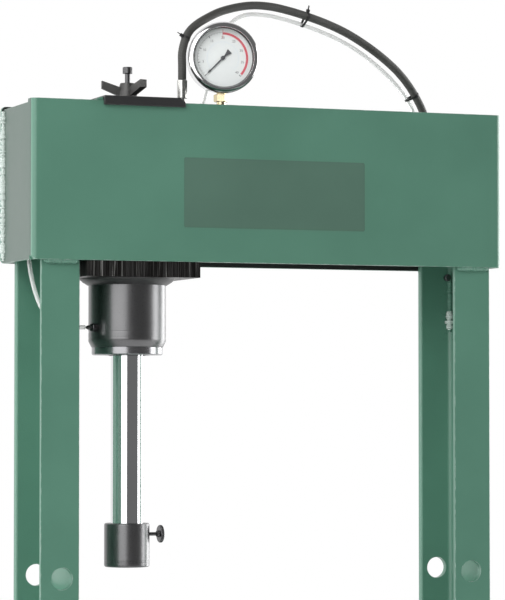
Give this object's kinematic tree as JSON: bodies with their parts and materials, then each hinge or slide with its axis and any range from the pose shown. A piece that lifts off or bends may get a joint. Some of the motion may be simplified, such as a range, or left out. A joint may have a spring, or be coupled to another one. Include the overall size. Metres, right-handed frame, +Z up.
{
  "type": "hydraulic shop press",
  "caption": "H-frame hydraulic shop press with a sliding press head, dial gauge, pinned table and side-mounted hand pump.",
  "frame": {"origin": "on the floor under the centre of the whole press's box, measured without the hose and return tube", "axes": "+X to the right along the beam, +Y to the back, +Z up; the gauge faces -Y"},
  "size_m": [0.9236, 0.65, 1.9513],
  "materials": {
    "frame_green": "smooth glossy green paint",
    "black_paint": "satin black paint or blackened steel",
    "hard_chrome": "polished hard chrome",
    "bare_steel": "bright zinc or machined steel",
    "brass": "machined brass",
    "bronze": "bearing bronze",
    "seal_rubber": "matt black",
    "hose_rubber": "dark grey hose cover",
    "clear_tube": "milky clear hose",
    "dial_white": "white dial",
    "lens": "clear",
    "knob_red": "red plastic"
  },
  "bodies": {
    "frame": {"left_post": "frame_green", "right_post": "frame_green", "beam_front_plate": "frame_green", "beam_rear_plate": "frame_green", "head_stop": "frame_green", "left_foot": "frame_green", "right_foot": "frame_green", "cross_tie": "frame_green", "pump_bracket": "frame_green", "bracket_bolt_lower": "bare_steel", "bracket_bolt_upper": "bare_steel", "pump_tank": "frame_green", "filler_plug": "black_paint", "pump_block": "black_paint", "pump_outlet": "bare_steel", "tank_barb": "black_paint", "hydraulic_hose": "hose_rubber", "return_tube": "clear_tube"},
    "table": {"table_front_channel": "frame_green", "table_rear_channel": "frame_green", "table_spacer_left": "frame_green", "table_spacer_right": "frame_green"},
    "pin_left": {"table_pin_left": "bare_steel"},
    "pin_right": {"table_pin_right": "bare_steel"},
    "head": {"head_plate": "black_paint", "cylinder_barrel": "black_paint", "cylinder_closure": "black_paint", "gland_nut": "black_paint", "rod_wiper": "seal_rubber", "rod_bush": "bronze", "cylinder_barb": "black_paint", "return_spring": "bare_steel", "clamp_plate": "black_paint", "clamp_screw": "black_paint", "port_manifold": "black_paint", "hose_adapter": "bare_steel", "hose_ferrule": "bare_steel", "gauge_case": "bare_steel", "gauge_bezel": "bare_steel", "gauge_lens": "lens", "gauge_dial": "dial_white", "bourdon_tube": "bronze", "gauge_stem": "brass"},
    "pointer": {"gauge_pointer": "seal_rubber"},
    "nut": {"wing_nut": "black_paint"},
    "ram": {"ram_rod": "hard_chrome", "ram_piston": "bare_steel", "piston_seal": "seal_rubber"},
    "cap": {"ram_cap": "black_paint"},
    "thumbscrew": {"cap_screw": "black_paint"},
    "lever": {"lever_yoke": "black_paint", "lever_pivot_pin": "bare_steel", "lever_drive_pin": "bare_steel", "lever_bar": "frame_green", "lever_grip": "seal_rubber"},
    "plunger": {"pump_plunger": "bare_steel"},
    "knob": {"release_knob": "knob_red"}
  },
  "joints": [
    {"name": "head_slide", "type": "slide", "parent": "frame", "child": "head", "axis": [1, 0, 0], "range_m": [0, 0.33], "deforming": ["hydraulic_hose", "return_tube"]},
    {"name": "ram_slide", "type": "slide", "parent": "head", "child": "ram", "axis": [0, 0, -1], "range_m": [-0.189, 0.02], "deforming": ["return_spring"]},
    {"name": "cap_slide", "type": "slide", "parent": "ram", "child": "cap", "axis": [0, 0, -1], "range_m": [0, 0.05]},
    {"name": "cap_screw_turn", "type": "hinge", "parent": "cap", "child": "thumbscrew", "pos_m": [-0.2288, 0, 1.1231], "axis": [1, 0, 0], "continuous": true},
    {"name": "wing_nut_turn", "type": "hinge", "parent": "head", "child": "nut", "pos_m": [-0.2828, 0, 1.782], "axis": [0, 0, 1], "continuous": true},
    {"name": "gauge_pointer_turn", "type": "hinge", "parent": "head", "child": "pointer", "pos_m": [-0.1303, 0, 1.854], "axis": [0.1736, 0.9848, 0], "range_deg": [0, 270], "stiffness_Nm_per_rad": 0.002},
    {"name": "table_lift", "type": "slide", "parent": "frame", "child": "table", "axis": [0, 0, 1], "range_m": [0, 0.24]},
    {"name": "pin_left_pull", "type": "slide", "parent": "frame", "child": "pin_left", "axis": [0, -1, 0], "range_m": [0, 0.3]},
    {"name": "pin_right_pull", "type": "slide", "parent": "frame", "child": "pin_right", "axis": [0, -1, 0], "range_m": [0, 0.3]},
    {"name": "pump_lever_swing", "type": "hinge", "parent": "frame", "child": "lever", "pos_m": [0.3962, 0.015, 0.925], "axis": [1, 0, 0], "range_deg": [0, 70]},
    {"name": "plunger_slide", "type": "slide", "parent": "frame", "child": "plunger", "axis": [0, 0, -1], "range_m": [0, 0.03441]},
    {"name": "release_knob_turn", "type": "hinge", "parent": "frame", "child": "knob", "pos_m": [0.3962, -0.038, 0.8303], "axis": [0, -1, 0], "range_deg": [0, 360]}
  ],
  "couplings": [
    {"joint": "plunger_slide", "follows": "pump_lever_swing", "m_per_rad": 0.028164}
  ]
}
